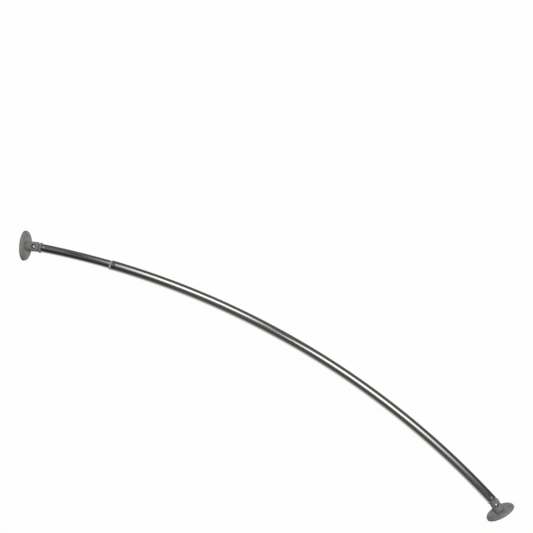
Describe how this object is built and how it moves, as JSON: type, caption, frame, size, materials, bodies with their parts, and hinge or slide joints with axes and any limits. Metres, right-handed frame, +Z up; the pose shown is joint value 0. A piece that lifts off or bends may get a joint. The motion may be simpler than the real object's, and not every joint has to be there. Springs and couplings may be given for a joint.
{
  "type": "shower curtain rod",
  "caption": "Curved telescopic shower curtain rod: bright steel tubes with a plastic mouth sleeve, and a grey plastic wall flange on a swivel knuckle at each end.",
  "frame": {"origin": "centre of the left flange's screw circle, on its wall face", "axes": "+X along the rod from the left wall to the right one, +Y to the side that the rod bows towards, +Z up along the pivot bolts"},
  "size_m": [1.3406, 0.1586, 0.072],
  "materials": {
    "grey_plastic": "mid grey moulded plastic, semi-gloss",
    "bright_steel": "bright, finely drawn along the tube",
    "clear_plastic": "translucent, faintly blue",
    "white_plastic": "plain moulded",
    "zinc_plate": "bright zinc",
    "dark_zinc": "dark zinc"
  },
  "bodies": {
    "left_flange": {"left_wall_flange": "grey_plastic", "left_pivot_bolt": "zinc_plate", "left_pivot_nut": "dark_zinc"},
    "inner_rod": {"inner_tube": "bright_steel", "left_end_plug": "grey_plastic", "inner_tube_glide": "white_plastic"},
    "outer_rod": {"outer_tube": "bright_steel", "mouth_sleeve": "clear_plastic", "right_end_plug": "grey_plastic"},
    "right_flange": {"right_wall_flange": "grey_plastic", "right_pivot_bolt": "zinc_plate", "right_pivot_nut": "dark_zinc"}
  },
  "joints": [
    {"name": "left_pivot", "type": "hinge", "parent": "left_flange", "child": "inner_rod", "pos_m": [0.02336, 0.01023, 0], "axis": [0, 0, 1], "range_deg": [-11.3, 22.7]},
    {"name": "telescope", "type": "hinge", "parent": "inner_rod", "child": "outer_rod", "pos_m": [0.65631, -1.88705, 0], "axis": [0, 0, -1], "range_deg": [-4.76, 14.21]},
    {"name": "right_pivot", "type": "hinge", "parent": "outer_rod", "child": "right_flange", "pos_m": [1.28622, 0.01122, 0], "axis": [0, 0, 1], "range_deg": [-5.3, 28.7]}
  ]
}
